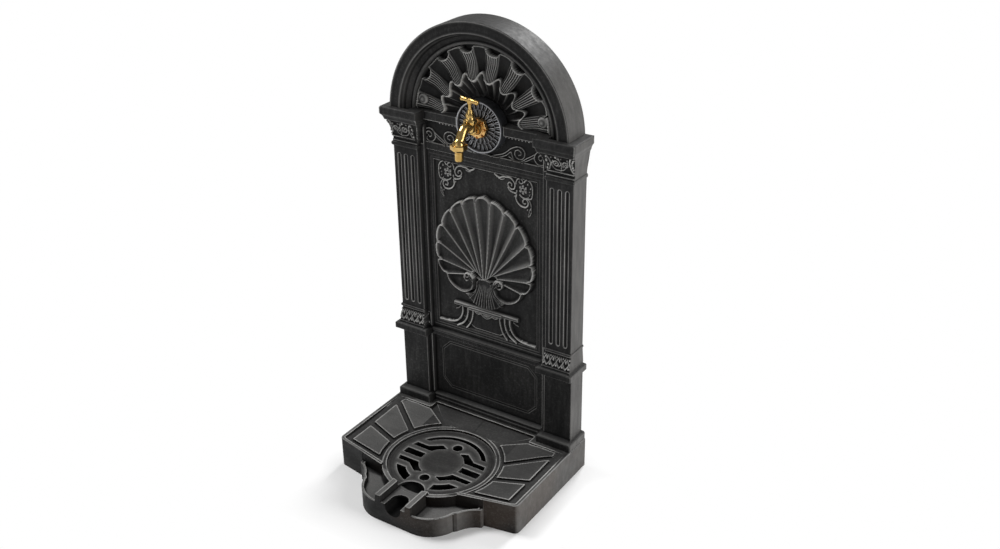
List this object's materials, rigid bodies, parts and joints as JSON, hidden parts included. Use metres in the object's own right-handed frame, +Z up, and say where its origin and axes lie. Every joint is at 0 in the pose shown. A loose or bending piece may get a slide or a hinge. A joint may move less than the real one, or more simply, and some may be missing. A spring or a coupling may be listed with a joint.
{
  "type": "wall fountain",
  "caption": "Garden wall fountain: an arched relief panel with a working tap over a basin tray with a lift-out grate and a spill channel.",
  "frame": {"origin": "centre of the footprint's bounding box, on the floor", "axes": "+Z up, +Y towards the wall behind the panel, -Y towards the user, +X to the right as the user sees it"},
  "size_m": [0.3846, 0.325, 0.8055],
  "materials": {
    "moulding": "near-black moulded stone resin, raised edges dry-brushed silver grey",
    "brass": "polished cast and turned brass",
    "rubber": "plain black rubber",
    "steel": "zinc-plated steel",
    "clip": "black nylon",
    "hose": "reinforced flexible hose"
  },
  "bodies": {
    "fountain": {"back_panel": "moulding", "base_tray": "moulding", "rosette": "moulding", "tap_body": "brass", "tap_flange": "brass", "bonnet": "brass", "gland_nut": "brass", "wall_elbow": "brass", "inlet_connector": "brass", "inlet_lock_nut": "brass", "panel_washer": "rubber", "bonnet_seal": "rubber", "gland_packing": "rubber", "panel_screws": "steel", "clip_screws": "steel", "upper_hose_clamp": "steel", "lower_hose_clamp": "steel", "hose_clip_1": "clip", "hose_clip_2": "clip", "hose_clip_3": "clip", "riser_hose": "hose"},
    "grate": {"drain_grate": "moulding"},
    "valve": {"jumper_valve": "brass", "valve_washer": "rubber"},
    "handle": {"spindle": "brass", "tap_handle": "brass", "handle_pin": "steel"},
    "tail": {"hose_tail": "brass", "union_washer": "rubber"},
    "nut": {"union_nut": "brass"}
  },
  "joints": [
    {"name": "grate_lift", "type": "slide", "parent": "fountain", "child": "grate", "axis": [0, 0, 1], "range_m": [0, 0.06]},
    {"name": "valve_lift", "type": "slide", "parent": "fountain", "child": "valve", "axis": [0, 0, 1], "range_m": [0, 0.004]},
    {"name": "handle_turn", "type": "hinge", "parent": "valve", "child": "handle", "pos_m": [0, 0.0965, 0.66], "axis": [0, 0, 1], "range_deg": [0, 600]},
    {"name": "tail_drop", "type": "slide", "parent": "fountain", "child": "tail", "axis": [0, 0, -1], "range_m": [0, 0.00363]},
    {"name": "union_turn", "type": "hinge", "parent": "tail", "child": "nut", "pos_m": [0, 0.0625, 0.612], "axis": [0, 0, -1], "range_deg": [0, 720]}
  ],
  "couplings": [
    {"joint": "handle_turn", "follows": "valve_lift", "rad_per_m": 2618},
    {"joint": "union_turn", "follows": "tail_drop", "rad_per_m": 3463.7}
  ]
}
